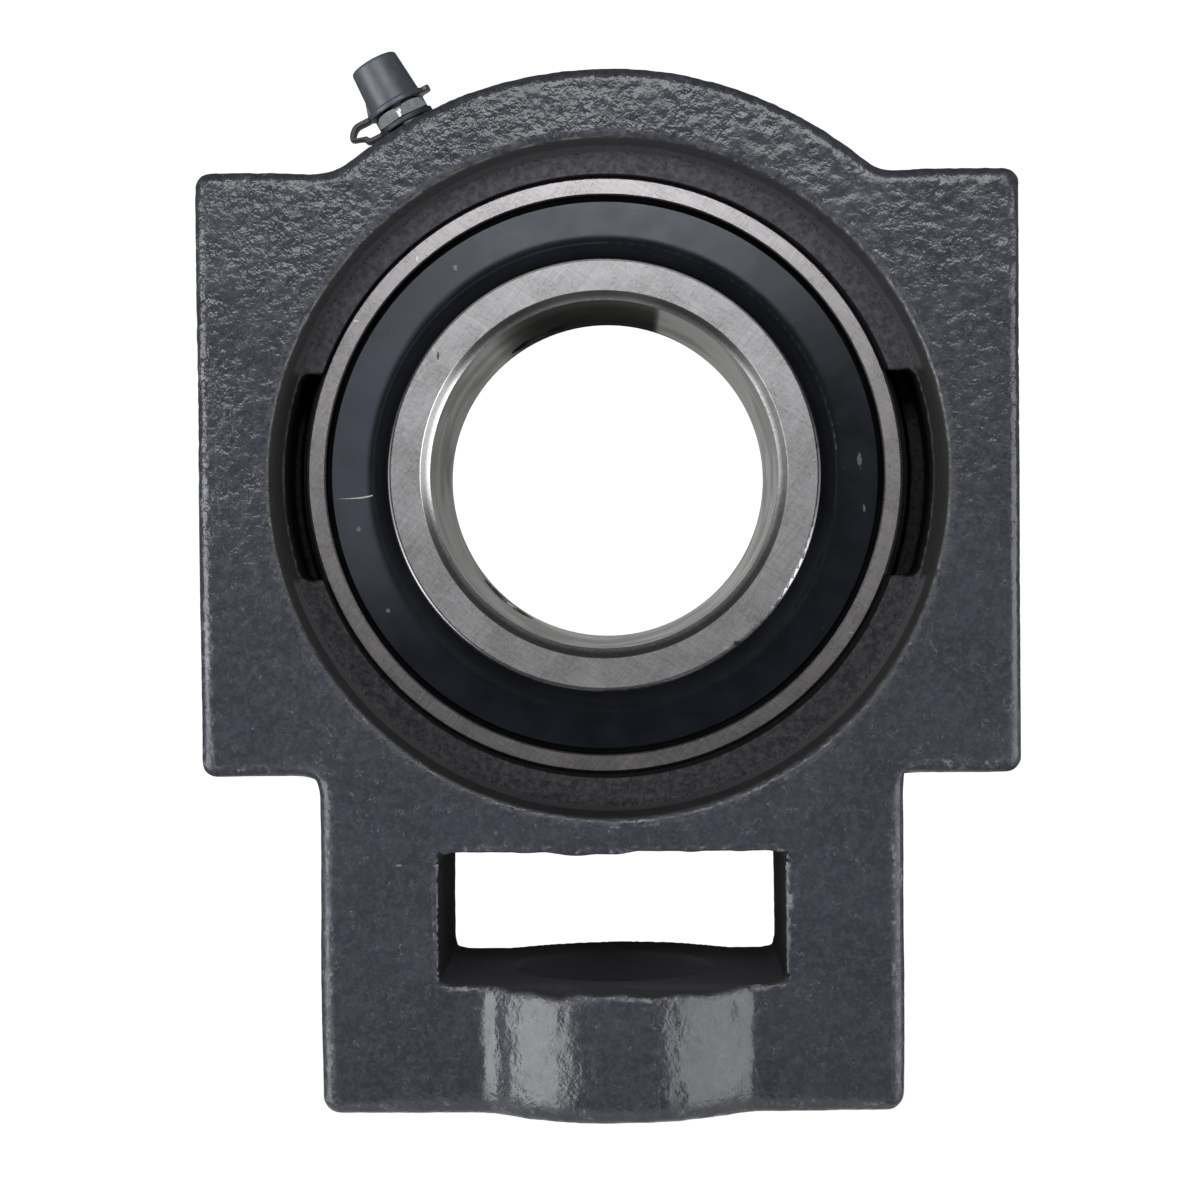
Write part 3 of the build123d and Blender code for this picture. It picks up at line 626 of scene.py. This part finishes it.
def softened(node, name, grid, passes, material, body, bm=None):
    """A moulded piece: the packed solid on a fine even mesh with its edges rounded."""
    piece = place_piece(name, bm or copied(node), material, None, smooth=False)
    skin = piece.modifiers.new("Fine grid", "REMESH")
    skin.mode = "VOXEL"
    skin.voxel_size = grid
    round_off = piece.modifiers.new("Rounded edges", "SMOOTH")
    round_off.factor = 0.5
    round_off.iterations = passes
    thin = piece.modifiers.new("Fewer triangles", "DECIMATE")
    thin.ratio = 0.5
    applied(piece).shade_smooth()
    if body:
        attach(piece, body)
    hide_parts(node)
    return piece


def dress(nodes, material):
    """Gives packed nodes their material and leaves their shape alone."""
    for name in nodes:
        NODES[name].data.materials.clear()
        NODES[name].data.materials.append(material)


def applied(piece):
    """The piece's mesh with its modifiers applied."""
    bpy.context.view_layer.update()
    mesh = bpy.data.meshes.new_from_object(piece.evaluated_get(bpy.context.evaluated_depsgraph_get()))
    piece.modifiers.clear()
    piece.data = mesh
    return mesh


def read_points(mesh, field="co"):
    """One row of three numbers for each point of the mesh."""
    values = np.zeros(len(mesh.vertices) * 3, np.float32)
    mesh.vertices.foreach_get(field, values)
    return values.reshape(-1, 3).astype(float)


def move_points(mesh, points):
    """Puts the points of the mesh in new places."""
    mesh.vertices.foreach_set("co", points.astype(np.float32).ravel())
    mesh.update()


# ---------------------------------------------------------------- casting


def in_recess(p):
    """Where points lie in a sand-cored recess with a dry skin (slot, hole, notches, ledges), and on a ledge."""
    x, y, z = p[:, 0] - RECESS_X, p[:, 1], p[:, 2]
    radius = np.hypot(x, z - RECESS_Z)
    slot = (np.abs(x) < SLOT_HALF) & (z > SLOT_FLOOR) & (z < SLOT_ROOF)
    hole = (np.hypot(x, y) < HOLE_RADIUS) & (z < HOLE_TOP)
    notch = (radius > SEAT_RADIUS) & (radius < 0.0473) & (np.abs(z) < NOTCH_HALF) & (y > -0.0128) & (y < -0.001)
    ledge = (radius < RECESS_FOOT) & (np.abs(y) < FACE_DEPTH - 0.0007) & ~notch & ~slot
    return (slot | hole | notch | ledge).astype(float), ledge.astype(float)


def on_machined(p):
    """1 where a point lies on a machined face: the seat of the ring or the guide grooves."""
    seat = np.linalg.norm(p, axis=1) < SEAT_RADIUS
    groove = (np.abs(p[:, 1]) < GROOVE_HALF) & (np.abs(p[:, 0]) > GROOVE_FLOOR)
    return (seat | groove).astype(float)


def cast_lumps(points, size):
    """Rounded lumps and hollows, about -1 to 1, at the given points."""
    out = np.zeros(len(points))
    for i, p in enumerate(points):
        q = Vector(p) / size
        warp = noise.noise_vector(q * 0.45) * 0.6
        out[i] = noise.noise(q + warp) + 0.45 * noise.noise((q + warp) * 2.1)
    return out


def cast_waves(points, size):
    """Soft waves, from -1 to 1, at the given points."""
    return np.array([noise.noise(Vector(p) / size) for p in points])


class TAKEUP_OT_casting(bpy.types.Operator):
    """Makes the cast housing with its rough skin, waves and machined faces"""

    bl_idname = "takeup.casting"
    bl_label = "Casting"

    def execute(self, context):
        s = context.scene.takeup_casting
        noise.seed_set(1)  # noise_vector goes by the clock otherwise
        bm = copied("housing")
        exact = BVHTree.FromBMesh(bm)
        piece = place_piece("cast_housing", bm, cast_paint(s), None, smooth=False)
        grid = piece.modifiers.new("Skin grid", "REMESH")
        grid.mode = "VOXEL"
        grid.voxel_size = s.grid
        mesh = applied(piece)
        points = np.array([exact.find_nearest(p)[0] for p in read_points(mesh)])
        move_points(mesh, points)
        normals = read_points(mesh, field="normal")
        cast = 1 - on_machined(points)
        upper = np.clip((points[:, 2] + 0.045) / 0.06, 0, 1)
        lumps = cast_lumps(points, s.lump_size) * s.lump_height * (0.35 + 0.65 * upper)
        waves = cast_waves(points, 0.021) * s.wave_height
        fine = cast_waves(points, 0.0062) * s.wave_height * 0.35
        boss = np.clip((-0.073 - points[:, 2]) / 0.003, 0, 1) * (np.abs(points[:, 0]) < 0.027)
        ripples = cast_waves(points * (1, 1, 0.6), 0.0021) * 0.00009 * boss
        depth = (lumps + waves + fine + ripples) * cast
        edge = self.edge_sharpness(mesh, points, normals)
        matt, ledge = in_recess(points)
        points = self.cast_errors(points + normals * depth[:, None])
        margin = 2e-5
        points = np.clip(points, np.array(cad_box[0]) + margin, np.array(cad_box[1]) - margin)
        move_points(mesh, points)

        # Fewer triangles, and on each point what was found for the nearest point before
        tree = kdtree.KDTree(len(points))
        for i, p in enumerate(points):
            tree.insert(p, i)
        tree.balance()
        mesh.calc_loop_triangles()
        thin = piece.modifiers.new("Fewer triangles", "DECIMATE")
        thin.ratio = min(1.0, s.triangles / len(mesh.loop_triangles))
        mesh = applied(piece)
        near = [tree.find(v.co)[1] for v in mesh.vertices]
        for name, values in (("edge", edge), ("cast", cast), ("ledge", ledge)):
            stored = mesh.attributes.get(name) or mesh.attributes.new(name, "FLOAT", "POINT")
            stored.data.foreach_set("value", values[near].astype(np.float32))
        mesh.materials.append(recess_skin(s))
        matt = matt[near]
        skins = [int(matt[list(polygon.vertices)].mean() > 0.6) for polygon in mesh.polygons]
        mesh.polygons.foreach_set("material_index", skins)
        mesh.shade_smooth()
        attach(piece, "housing")
        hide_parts("housing")
        return {"FINISHED"}

    def cast_errors(self, p):
        """Small faults of this casting: raised shoulders, tight corners, a wide seat mouth and a rough slot."""
        def rise(value, low, high):
            t = np.clip((value - low) / (high - low), 0, 1)
            return t * t * (3 - 2 * t)

        slot_corner, slot_fillet = 0.0225, 0.0025
        for side in (-1, 1):
            self.tighten(p, RECESS_X + side * slot_corner, -0.0710, side, -1, slot_fillet, 0.5)
            self.tighten(p, RECESS_X + side * slot_corner, -0.0567, side, 1, slot_fillet, 0.35)
        self.tighten(p, NECK_X + NECK_FILLET, NECK_Z - NECK_FILLET, -1, 1, NECK_FILLET, 0.85)
        self.tighten(p, -NECK_X + 0.0012 - NECK_FILLET, NECK_Z - NECK_FILLET, 1, 1, NECK_FILLET, 0.4)
        x, y, z = p.T.copy()
        p[:, 2] += 0.00062 * rise(-x, 0.030, 0.050) * rise(z, 0.030, 0.043)
        p[:, 2] += 0.00025 * rise(x, 0.036, 0.050) * rise(z, 0.030, 0.043)
        radius = np.hypot(x, z)
        in_mouth = (radius > 0.0420) * (np.abs(y) < 0.0140)
        mouth = 0.0003 * (1 - rise(radius, 0.0434, SEAT_RADIUS)) * rise(np.abs(y), 0.0112, 0.0128) * in_mouth
        p[:, 0] += mouth * x / np.maximum(radius, 1e-6)
        p[:, 2] += mouth * z / np.maximum(radius, 1e-6)
        front = rise(-y, 0.0125, 0.0180)
        roof = front * rise(z, -0.0560, -0.0545) * (1 - rise(z, -0.0535, -0.0515)) * (np.abs(x) < 0.0235)
        sag = 0.0006 * np.exp(-(((x + 0.003) / 0.0055) ** 2)) + 0.0003 * cast_waves(p * (1, 0, 0), 0.0035)
        p[:, 2] -= roof * np.maximum(sag, 0)
        lip = rise(-y, 0.0165, 0.0205) * (1 - rise(np.abs(x), 0.016, 0.021))
        lip = lip * (1 - rise(np.abs(z + 0.0737), 0.0004, 0.0022))
        broken = 0.0004 + 0.0007 * cast_waves(p * (1, 0.3, 0.3), 0.0044) + 0.0002 * cast_waves(p, 0.0014)
        p[:, 2] -= lip * np.clip(broken, 0, 0.0012)
        return p

    def tighten(self, p, x, z, toward_x, toward_z, radius, amount):
        """Draws the rounded corner whose centre is x, z a little further into its corner."""
        u, v = (p[:, 0] - x) * toward_x, (p[:, 2] - z) * toward_z
        reach = np.hypot(u, v)
        here = (u > 0) & (v > 0) & (reach < radius + 0.0012) & (reach > radius - 0.0004)
        square = 1 / np.maximum(np.maximum(u, v) / np.maximum(reach, 1e-9), 0.7)
        fade = np.clip((radius + 0.0012 - reach) / 0.0010, 0, 1)
        grow = 1 + here * fade * amount * (square - 1)
        p[:, 0] = np.where(here, x + toward_x * u * grow, p[:, 0])
        p[:, 2] = np.where(here, z + toward_z * v * grow, p[:, 2])

    def edge_sharpness(self, mesh, points, normals):
        """How strongly each point lies on an outer edge, from 0 to 1, spread over about a millimetre."""
        edges = np.zeros(len(mesh.edges) * 2, np.int32)
        mesh.edges.foreach_get("vertices", edges)
        a, b = edges.reshape(-1, 2).T
        total = len(points)
        count = np.bincount(a, minlength=total) + np.bincount(b, minlength=total)

        def of_neighbours(values):
            return (np.bincount(a, values[b], total) + np.bincount(b, values[a], total)) / count

        mean = np.stack([of_neighbours(points[:, k]) for k in range(3)], axis=1)
        spacing, edge_radius = 0.00048, 0.0018
        bend = -np.einsum("ij,ij->i", mean - points, normals) / (0.25 * spacing**2) * edge_radius
        bend = np.clip(bend, 0, 2)
        for _ in range(3):
            bend = 0.5 * bend + 0.5 * of_neighbours(bend)
        return np.clip(bend, 0, 1)


# ---------------------------------------------------------------- insert


class TAKEUP_OT_rings(bpy.types.Operator):
    """Gives the inner and outer ring their ground steel"""

    bl_idname = "takeup.rings"
    bl_label = "Rings"

    def execute(self, context):
        s = context.scene.takeup_insert
        # Painted shade on the outer ring: a band by the seal and one on the outer chamfer, with their strength
        edges = ((0.0400, 0.04074, 0.93), (0.04455, 0.0452, 0.72))
        width = s.grain_width
        # Painted shade: the outer ring keeps 0.74 of its tone at the bottom
        outer = ground_steel("outer_ring_steel", s.outer_steel, OUTER_MARKS, width, edges, shaded_bottom_tone=0.74)
        inner = ground_steel("inner_ring_steel", s.inner_steel, RING_MARKS, width, bore_steel=s.bore_steel)
        dress(("outer_ring",), outer)
        dress(("inner_ring",), inner)
        return {"FINISHED"}


class TAKEUP_OT_flingers(bpy.types.Operator):
    """Gives the two flingers their blackened steel"""

    bl_idname = "takeup.flingers"
    bl_label = "Flingers"

    roll_start, roll_end, hub = 0.0351, 0.0340, 0.0326
    sink = 0.00018
    rim_radius, rim_height, crest_height = 0.0402, 0.0110, 0.0117

    def roll(self, v, side):
        """Rolls the crest of a flinger softly down towards its hub."""
        radius, height = math.hypot(v.co.x, v.co.z), v.co.y * side
        up_cone = (self.rim_radius - radius) / (self.rim_radius - self.roll_end)
        cone = self.rim_height + (self.crest_height - self.rim_height) * up_cone
        under_cone = radius > self.roll_end and height < cone - 0.00035
        if radius > self.roll_start or radius < self.hub or under_cone:
            return
        if radius > self.roll_end:
            down = ((self.roll_start - radius) / (self.roll_start - self.roll_end)) ** 2
        else:
            down = (radius - self.hub) / (self.roll_end - self.hub) * min(1, max(0, (height - 0.0098) / 0.0012))
        v.co.y -= side * self.sink * down

    def execute(self, context):
        finish = blackened_steel(context.scene.takeup_insert)
        for node, side in (("flinger_front", -1), ("flinger_rear", 1)):
            bm = copied(node)
            rims = {e: [v.co.xz.length for v in e.verts] for e in bm.edges}
            across = [e for e, radii in rims.items() if abs(radii[0] - radii[1]) > 0.0012]
            bmesh.ops.subdivide_edges(bm, edges=across, cuts=8)
            for v in bm.verts:
                self.roll(v, side)
            place_piece(f"rolled_{node}", bm, finish, "inner_race", (node,))
        return {"FINISHED"}


class TAKEUP_OT_rolling_set(bpy.types.Operator):
    """Finishes the balls, the riveted cage and the seals"""

    bl_idname = "takeup.rolling_set"
    bl_label = "Balls, cage and seals"

    def execute(self, context):
        balls = [n for n in NODES if n.startswith("ball_")]
        cage = [n for n in NODES if n.startswith("cage_")]
        dress(balls, plain_metal("polished_balls", (0.62, 0.62, 0.63), 0.10, 0.004, 0.000001))
        dress(cage, plain_metal("pressed_cage", (0.42, 0.41, 0.40), 0.38, 0.0009, 0.00001))
        coat = plain_polymer("seal_core_coat", (0.002, 0.002, 0.002), 0.8, 0.0007, 0.00002, 0.1)
        dress(("seal_core_front", "seal_core_rear"), coat)
        rubber = plain_polymer("seal_rubber", (0.003, 0.003, 0.003), 0.85, 0.0007, 0.00002, 0.1)
        dress(("seal_lip_front", "seal_lip_rear"), rubber)
        return {"FINISHED"}


class TAKEUP_OT_set_screws(bpy.types.Operator):
    """Finishes the two set screws"""

    bl_idname = "takeup.set_screws"
    bl_label = "Set screws"

    def execute(self, context):
        finish = plain_metal("black_oxide_screws", (0.06, 0.06, 0.065), 0.35, 0.0008, 0.00001)
        wall, core, root, crest, pitch, chamfer = 0.0049, 0.00455, 0.0045, 0.00498, 0.001, 0.0009
        joints = {joint["child"]: joint for joint in frame["record"]["behaviour"]["joints"]}
        for node in ("set_screw_1", "set_screw_2"):
            out = -Vector(joints[node]["axis"]).normalized()
            bm = copied(node)
            foot = sum((v.co for v in bm.verts), Vector()) / len(bm.verts)
            foot.x, foot.z = 0, 0
            side = out.cross(Vector((0, 1, 0)))
            heights = [(v.co - foot).dot(out) for v in bm.verts]
            low, high = min(heights), max(heights)
            for v in bm.verts:
                height = (v.co - foot).dot(out)
                from_axis = v.co - foot - out * height
                if from_axis.length > wall:
                    v.co = foot + out * height + from_axis.normalized() * core
            start, length = foot + out * (low + chamfer), high - low - 2 * chamfer
            wind_thread(bm, start, out, side, root, crest, pitch, length)
            place_piece(f"threaded_{node}", bm, finish, node, (node,))
        return {"FINISHED"}


# ---------------------------------------------------------------- grease nipple


class TAKEUP_OT_nipple(bpy.types.Operator):
    """Finishes the grease nipple with its check valve"""

    bl_idname = "takeup.nipple"
    bl_label = "Grease nipple"

    def on_hexagon_corner(self, edge):
        """Whether a sharp edge runs along the nipple on the outside of its hexagon."""
        if len(edge.link_faces) != 2 or edge.calc_face_angle(0) < 0.7:
            return False
        for p in (v.co for v in edge.verts):
            height = p.dot(NIPPLE_OUT)
            if not HEXAGON_FOOT < height < HEXAGON_TOP or (p - NIPPLE_OUT * height).length < 0.0040:
                return False
        return abs((edge.verts[0].co - edge.verts[1].co).normalized().dot(NIPPLE_OUT)) > 0.9

    def execute(self, context):
        s = context.scene.takeup_nipple
        bm = copied("grease_nipple")
        for v in bm.verts:
            if abs(v.co.dot(NIPPLE_OUT) - HEXAGON_FOOT) < 0.00005:
                v.co += NIPPLE_OUT * STRAP_LIFT
        hexagon = [e for e in bm.edges if self.on_hexagon_corner(e)]
        corner = min((v.co for e in hexagon for v in e.verts), key=lambda p: p.y).dot(NIPPLE_SIDE)
        bmesh.ops.bevel(
            bm, geom=hexagon, offset=0.00022, offset_type="OFFSET", affect="EDGES", segments=3, profile=0.5,
            material=-1,
        )
        shank, root, crest, pitch, length = NIPPLE_OUT * 0.0548, 0.00285, 0.00325, 0.001, 0.0052
        wind_thread(bm, shank, NIPPLE_OUT, NIPPLE_SIDE, root, crest, pitch, length)
        plating = nipple_plating(s, corner)
        place_piece("threaded_nipple", bm, plating, "housing", ("grease_nipple",))
        dress(("nipple_ball",), plain_metal("valve_ball", (0.62, 0.62, 0.63), 0.12, 0.002, 0.000001))
        wire = plain_metal("spring_wire", (0.45, 0.45, 0.46), 0.3, 0.0005, 0.000002)
        coil = copied("nipple_spring")
        spring = place_piece("valve_spring", coil, wire, None, ("nipple_spring",))
        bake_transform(spring)
        return {"FINISHED"}


class TAKEUP_OT_cap(bpy.types.Operator):
    """Finishes the plastic cap and the strap that keeps it"""

    bl_idname = "takeup.cap"
    bl_label = "Cap and strap"

    def add_web(self, bm):
        """Adds the thin web that stiffens the root of the strap against the wall of the cap."""
        for v in bmesh.ops.create_cube(bm, size=1.0)["verts"]:
            up, outward, aside = v.co.z + 0.5, v.co.x + 0.5, v.co.y
            reach = 0.0036 + outward * (0.0013 * (1 - up) + 0.0004 * up)
            v.co = NIPPLE_OUT * (CAP_FOOT + 0.0001 + 0.0027 * up) - NIPPLE_SIDE * reach
            v.co.y += 0.0016 * aside

    def execute(self, context):
        s = context.scene.takeup_nipple
        plastic = plain_polymer("cap_plastic", s.plastic, 0.42, 0.0011, 0.00002)
        bm = copied("grease_cap")
        self.add_web(bm)
        softened("grease_cap", "moulded_cap", 0.00013, 4, plastic, "grease_cap", bm)
        # Painted shade: the strap is the cap's plastic made darker, standing for the shade on the thin strap
        strap_in_shade = plain_polymer("strap_plastic_shaded", shade(s.plastic, 0.4), 0.5, 0.0011, 0.00002)
        strap = softened("cap_strap", "moulded_strap", 0.00011, 5, strap_in_shade, None)
        for v in strap.data.vertices:
            height = v.co.dot(NIPPLE_OUT)
            from_axis = (v.co - NIPPLE_OUT * height).length
            low = min(1, max(0, (0.0625 - height) / 0.0016))
            v.co += NIPPLE_OUT * STRAP_LIFT * low
            if height > 0.0629 and from_axis < 0.0054:
                v.co += NIPPLE_SIDE * 0.0002
        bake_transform(strap)
        return {"FINISHED"}


# ---------------------------------------------------------------- stage


def add_lamp(name, power, size, place, aim):
    """Adds a softbox of the given width and height that lights the aim and isn't seen itself."""
    data = bpy.data.lights.new(name, "AREA")
    data.shape = "RECTANGLE"
    data.size, data.size_y = size
    data.energy = power
    light = linked(name, data)
    light.location = place
    light.rotation_euler = (Vector(aim) - Vector(place)).to_track_quat("-Z", "Y").to_euler()
    light.visible_camera = False


def place_sheet(name, bm, material):
    """Writes a sheet of the stage."""
    piece = written(name, bm, material)


def pale_sheet(name, tone, own_light):
    """A pale stage material that shows white to the camera and in reflections, and keeps shadows."""
    f = Finish(name)
    f.surface(Base_Color=(tone, tone, tone), Roughness=0.9, Specular_IOR_Level=0.0)
    path = f.node("LightPath")
    seen = f.math("MAXIMUM", path.outputs["Is Camera Ray"], path.outputs["Is Glossy Ray"])
    seen = f.math("MAXIMUM", seen, path.outputs["Is Transmission Ray"])
    f.surface(Emission_Color=(1.0, 1.0, 1.0), Emission_Strength=f.times(seen, own_light))
    return f.material


class TAKEUP_OT_stage(bpy.types.Operator):
    """Sets the pale floor, the backdrop, the softboxes and the camera"""

    bl_idname = "takeup.stage"
    bl_label = "Stage"

    def execute(self, context):
        s = context.scene.takeup_stage
        floor_level = cad_box[0].z - 0.00005
        bm = bmesh.new()
        bmesh.ops.create_circle(bm, cap_ends=True, segments=128, radius=0.066)
        bmesh.ops.translate(bm, verts=bm.verts, vec=(0, 0.033, floor_level))
        place_sheet("stage_floor", bm, pale_sheet("floor_sheet", 0.20, 0.97))
        bm = bmesh.new()
        bmesh.ops.create_grid(bm, x_segments=2, y_segments=2, size=1.0)
        bmesh.ops.rotate(bm, verts=bm.verts, matrix=Matrix.Rotation(math.radians(90), 3, "X"))
        bmesh.ops.scale(bm, verts=bm.verts, vec=(0.79, 1, 0.79))
        bmesh.ops.translate(bm, verts=bm.verts, vec=(-0.046, 3.0, -0.09))
        place_sheet("stage_backdrop", bm, pale_sheet("backdrop_sheet", 0.45, 1.0))

        world = context.scene.world or bpy.data.worlds.new("Surroundings")
        context.scene.world = world
        world.use_nodes = True
        background = world.node_tree.nodes["Background"]
        background.inputs["Color"].default_value = (1.0, 1.0, 1.0, 1)
        background.inputs["Strength"].default_value = s.world

        add_lamp("upper_softbox", s.top_lamp, (0.42, 0.16), (-0.005, -0.45, 0.235), (0, 0, 0.02))
        add_lamp("left_softbox", s.left_lamp, (0.44, 0.5), (-0.515, -0.355, -0.15), (0, 0, -0.08))
        add_lamp("right_softbox", s.right_lamp, (0.58, 0.5), (0.548, -0.299, -0.15), (0, 0, -0.08))

        data = bpy.data.cameras.new("photo_camera")
        data.sensor_width = 36.0
        data.lens = s.lens
        camera = linked("photo_camera", data)
        camera.location = Vector((4.674, -415.907, -7.990)) * MM
        camera.rotation_euler = [math.radians(a) for a in (88.5591, 0.4998, 0.7651)]
        context.scene.camera = camera
        context.scene.view_settings.view_transform = "Standard"
        return {"FINISHED"}


# ---------------------------------------------------------------- panel and run


OPERATORS = (
    TAKEUP_OT_casting,
    TAKEUP_OT_rings,
    TAKEUP_OT_flingers,
    TAKEUP_OT_rolling_set,
    TAKEUP_OT_set_screws,
    TAKEUP_OT_nipple,
    TAKEUP_OT_cap,
    TAKEUP_OT_stage,
)
GROUPS = {
    "takeup_casting": CastingSettings,
    "takeup_insert": InsertSettings,
    "takeup_nipple": NippleSettings,
    "takeup_stage": StageSettings,
}


class TAKEUP_PT_panel(bpy.types.Panel):
    """Lists the operators and their settings."""

    bl_idname = "TAKEUP_PT_panel"
    bl_label = "Take-up unit"
    bl_space_type = "VIEW_3D"
    bl_region_type = "UI"
    bl_category = "Take-up unit"

    def draw(self, context):
        for operator in OPERATORS:
            self.layout.operator(operator.bl_idname)
        for name, group in GROUPS.items():
            box = self.layout.box()
            box.label(text=group.__doc__)
            for key in group.__annotations__:
                box.prop(getattr(context.scene, name), key)


def register():
    for cls in (*GROUPS.values(), *OPERATORS, TAKEUP_PT_panel):
        bpy.utils.register_class(cls)
    for name, group in GROUPS.items():
        setattr(bpy.types.Scene, name, bpy.props.PointerProperty(type=group))


def unregister():
    for name in GROUPS:
        delattr(bpy.types.Scene, name)
    for cls in (TAKEUP_PT_panel, *reversed(OPERATORS), *reversed(GROUPS.values())):
        bpy.utils.unregister_class(cls)


def main():
    """Dresses the whole unit and sets the stage."""
    register()
    bpy.ops.takeup.casting()
    bpy.ops.takeup.rings()
    bpy.ops.takeup.flingers()
    bpy.ops.takeup.rolling_set()
    bpy.ops.takeup.set_screws()
    bpy.ops.takeup.nipple()
    bpy.ops.takeup.cap()
    bpy.ops.takeup.stage()


if __name__ == "__main__":
    main()
